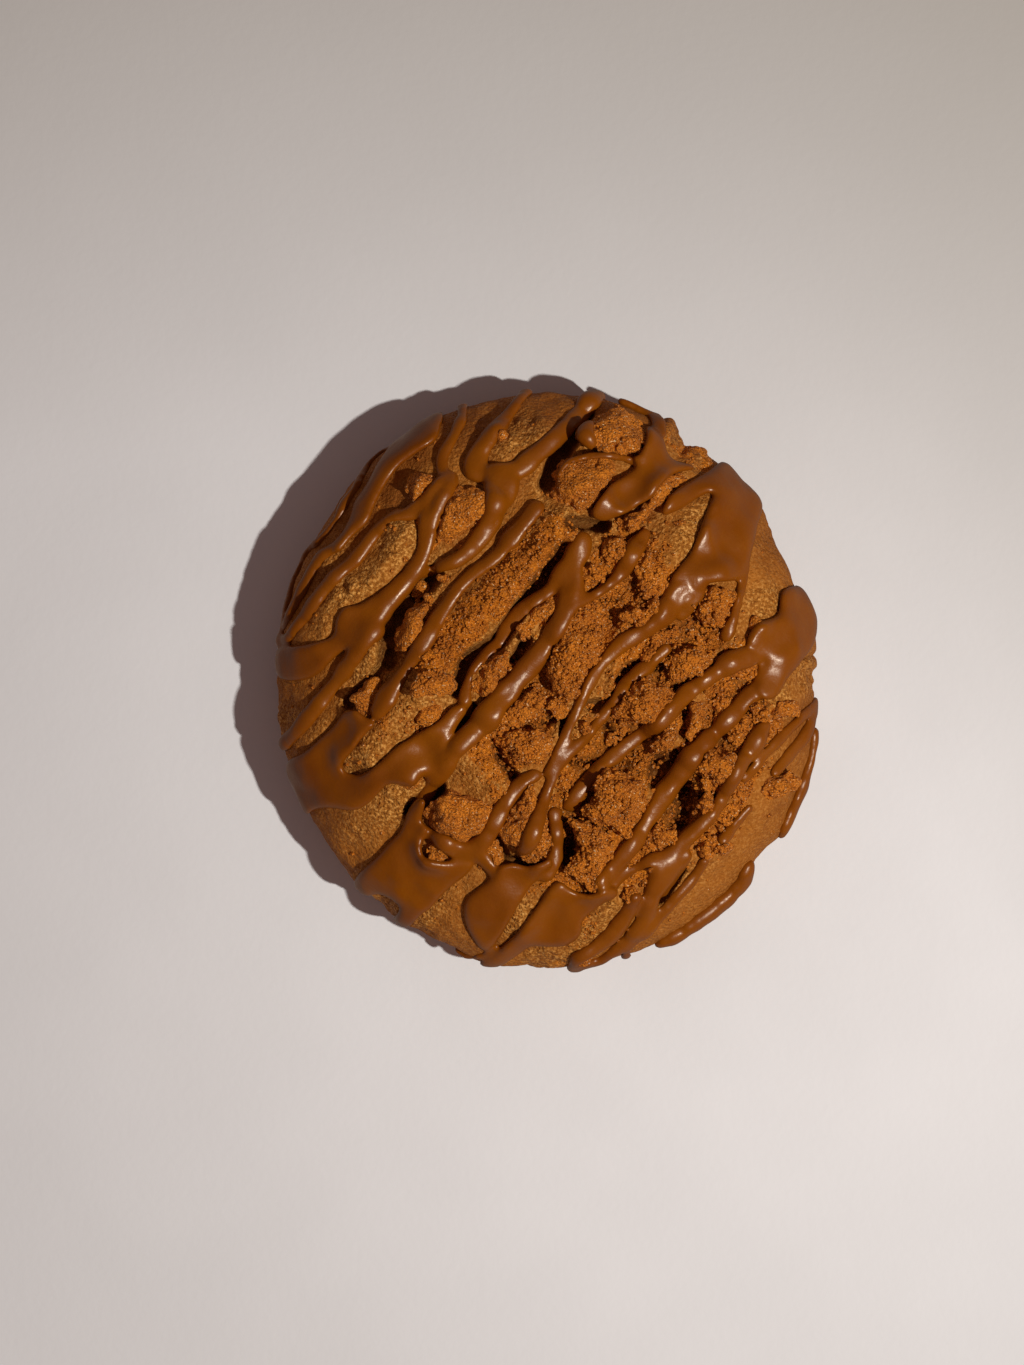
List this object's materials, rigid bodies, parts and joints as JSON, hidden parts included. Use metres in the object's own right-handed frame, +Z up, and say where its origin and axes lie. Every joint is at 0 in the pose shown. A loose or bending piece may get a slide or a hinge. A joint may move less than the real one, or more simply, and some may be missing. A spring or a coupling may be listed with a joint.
{
  "type": "speculoos cookie",
  "caption": "Thick domed speculoos cookie with a flat base, topped with broken spiced biscuit pieces and ribbons of caramel biscuit spread.",
  "frame": {"origin": "centre of the flat base, on the surface that the cookie stands on", "axes": "+Z up out of the dome, +Y along the cookie's slightly longer side, +X across it"},
  "size_m": [0.0956, 0.1023, 0.0342],
  "materials": {
    "dough": "soft baked dough, grainy and matte, browned on its ridges and side",
    "spread": "set caramel biscuit spread, smooth with a soft shine",
    "biscuit": "broken spiced biscuit, rough, open and matte"
  },
  "bodies": {
    "root": {"cookie": "dough", "biscuit_piece_01": "biscuit", "biscuit_piece_02": "biscuit", "biscuit_piece_03": "biscuit", "biscuit_piece_04": "biscuit", "biscuit_piece_05": "biscuit", "biscuit_piece_06": "biscuit", "biscuit_piece_07": "biscuit", "biscuit_piece_08": "biscuit", "biscuit_piece_09": "biscuit", "biscuit_piece_10": "biscuit", "biscuit_piece_11": "biscuit", "biscuit_piece_12": "biscuit", "biscuit_piece_13": "biscuit", "biscuit_piece_14": "biscuit", "biscuit_piece_15": "biscuit", "biscuit_piece_16": "biscuit", "biscuit_piece_17": "biscuit", "biscuit_piece_18": "biscuit", "biscuit_piece_19": "biscuit", "biscuit_piece_20": "biscuit", "biscuit_piece_21": "biscuit", "biscuit_piece_22": "biscuit", "biscuit_piece_23": "biscuit", "biscuit_piece_24": "biscuit", "biscuit_piece_25": "biscuit", "biscuit_piece_26": "biscuit", "biscuit_piece_27": "biscuit"}
  },
  "joints": []
}
